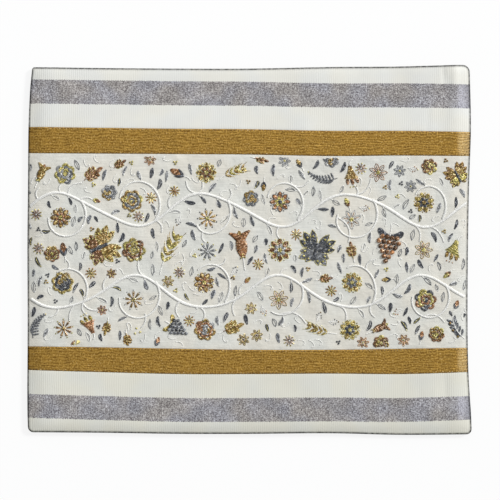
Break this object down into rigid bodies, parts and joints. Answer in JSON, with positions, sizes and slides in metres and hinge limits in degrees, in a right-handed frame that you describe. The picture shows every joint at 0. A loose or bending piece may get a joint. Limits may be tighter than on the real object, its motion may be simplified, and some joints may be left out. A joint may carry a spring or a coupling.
{
  "type": "tallit bag",
  "caption": "Flat rectangular cloth bag for a prayer shawl, with striped end bands, an embroidered front panel and a zipped top edge.",
  "frame": {"origin": "under the middle of the bag, on the surface that it lies on", "axes": "+X to the right across the front, +Y up the front to the zipped edge, +Z out of the front"},
  "size_m": [0.3621, 0.3016, 0.0073],
  "materials": {
    "woven_ivory": "fine ribbed wool with a woven grey stripe",
    "gold_brocade": "slubbed metallic gold brocade",
    "embroidered_silk": "pale silver silk ground under thread embroidery",
    "plain_ivory": "plain woven ivory cloth",
    "zip_tape": "woven tape",
    "zip_coil": "moulded nylon coil",
    "zip_metal": "polished brass plate"
  },
  "bodies": {
    "bag": {"front_top_strip": "woven_ivory", "front_upper_gold_band": "gold_brocade", "front_panel": "embroidered_silk", "front_lower_gold_band": "gold_brocade", "front_bottom_strip": "woven_ivory", "back_panel": "plain_ivory", "zip_tape_front": "zip_tape", "zip_tape_back": "zip_tape", "zip_coil": "zip_coil", "zip_slider": "zip_metal"},
    "pull_tab": {"zip_pull_tab": "zip_metal"}
  },
  "joints": [
    {"name": "pull_tab_swing", "type": "hinge", "parent": "bag", "child": "pull_tab", "pos_m": [0.16392, 0.14862, 0.0036], "axis": [0, 0, -1], "range_deg": [0, 140]}
  ]
}
